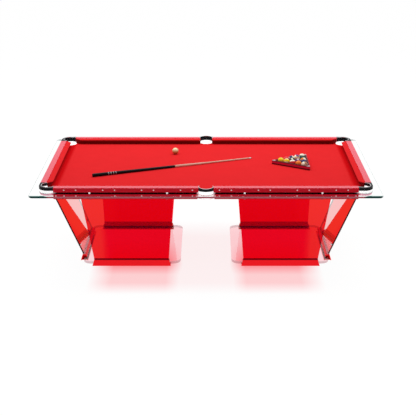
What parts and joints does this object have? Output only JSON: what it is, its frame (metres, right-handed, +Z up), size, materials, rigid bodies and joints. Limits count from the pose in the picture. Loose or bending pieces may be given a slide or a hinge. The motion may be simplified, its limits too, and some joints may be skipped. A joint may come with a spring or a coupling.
{
  "type": "pool table",
  "caption": "Glass-bed pocket pool table on two glass-panelled trapezoid legs, with red rails and cloth, metal pocket cups, a cue, a racked ball set and a cue ball.",
  "frame": {"origin": "on the floor, under the middle of the table", "axes": "+X along the table to the right, +Y from front to back, +Z up"},
  "size_m": [2.882, 1.612, 0.8314],
  "materials": {
    "clear_glass": "clear float glass with polished green edges",
    "red_glass": "transparent red glass",
    "bed_pad": "thin red-backed levelling pad",
    "bed_cloth": "red worsted bed cloth",
    "cushion_cloth": "red worsted cloth over rubber",
    "red_rail": "gloss red anodised strip",
    "red_frame": "gloss red anodised bar",
    "red_foot": "satin red lacquered extrusion",
    "seat_strip": "dark red seating strip",
    "black_casting": "gloss black casting",
    "polished_cup": "polished spun metal",
    "bright_steel": "polished steel",
    "cue_ball": "polished ivory-coloured resin",
    "ball_resin": "polished coloured resin",
    "rack_plastic": "gloss dark moulding",
    "cue_butt": "gloss black lacquer",
    "cue_rings": "inlaid bright rings",
    "cue_maple": "varnished maple",
    "cue_tip": "ferrule with leather tip"
  },
  "bodies": {
    "table": {"base_plate_left": "clear_glass", "base_plate_right": "clear_glass", "bed_cloth": "bed_cloth", "bed_pad": "bed_pad", "button_screws": "bright_steel", "cushion_back_left": "cushion_cloth", "cushion_back_right": "cushion_cloth", "cushion_front_left": "cushion_cloth", "cushion_front_right": "cushion_cloth", "cushion_left": "cushion_cloth", "cushion_right": "cushion_cloth", "end_panel_left": "red_glass", "end_panel_right": "red_glass", "foot_left_back": "red_foot", "foot_left_front": "red_foot", "foot_left_outer": "red_foot", "foot_right_back": "red_foot", "foot_right_front": "red_foot", "foot_right_outer": "red_foot", "glass_top": "clear_glass", "leg_panel_left_back": "red_glass", "leg_panel_left_front": "red_glass", "leg_panel_right_back": "red_glass", "leg_panel_right_front": "red_glass", "panel_seats": "seat_strip", "panel_studs": "bright_steel", "pocket_bracket_back_left": "black_casting", "pocket_bracket_back_middle": "black_casting", "pocket_bracket_back_right": "black_casting", "pocket_bracket_front_left": "black_casting", "pocket_bracket_front_middle": "black_casting", "pocket_bracket_front_right": "black_casting", "pocket_cup_back_left": "polished_cup", "pocket_cup_back_middle": "polished_cup", "pocket_cup_back_right": "polished_cup", "pocket_cup_front_left": "polished_cup", "pocket_cup_front_middle": "polished_cup", "pocket_cup_front_right": "polished_cup", "pocket_rims": "bright_steel", "rail_back_left": "red_rail", "rail_back_right": "red_rail", "rail_front_left": "red_rail", "rail_front_right": "red_rail", "rail_left": "red_rail", "rail_right": "red_rail", "rail_standoffs": "bright_steel", "through_bolts": "bright_steel", "underframe_back": "red_frame", "underframe_front": "red_frame", "underframe_left": "red_frame", "underframe_right": "red_frame"},
    "cue": {"cue_butt": "cue_butt", "cue_rings": "cue_rings", "cue_shaft": "cue_maple", "cue_tip": "cue_tip"},
    "cue_ball": {"cue_ball": "cue_ball"},
    "object_balls": {"object_balls": "ball_resin"},
    "rack": {"rack": "rack_plastic"}
  },
  "joints": [
    {"name": "cue_lift", "type": "slide", "parent": "table", "child": "cue", "axis": [0, 0, 1], "range_m": [0, 0.4]},
    {"name": "cue_ball_roll", "type": "slide", "parent": "table", "child": "cue_ball", "axis": [1, 0, 0], "range_m": [-0.9, 1.4]},
    {"name": "rack_slide", "type": "slide", "parent": "table", "child": "object_balls", "axis": [1, 0, 0], "range_m": [-0.12, 0.28]},
    {"name": "rack_lift", "type": "slide", "parent": "object_balls", "child": "rack", "axis": [0, 0, 1], "range_m": [0, 0.25]}
  ]
}
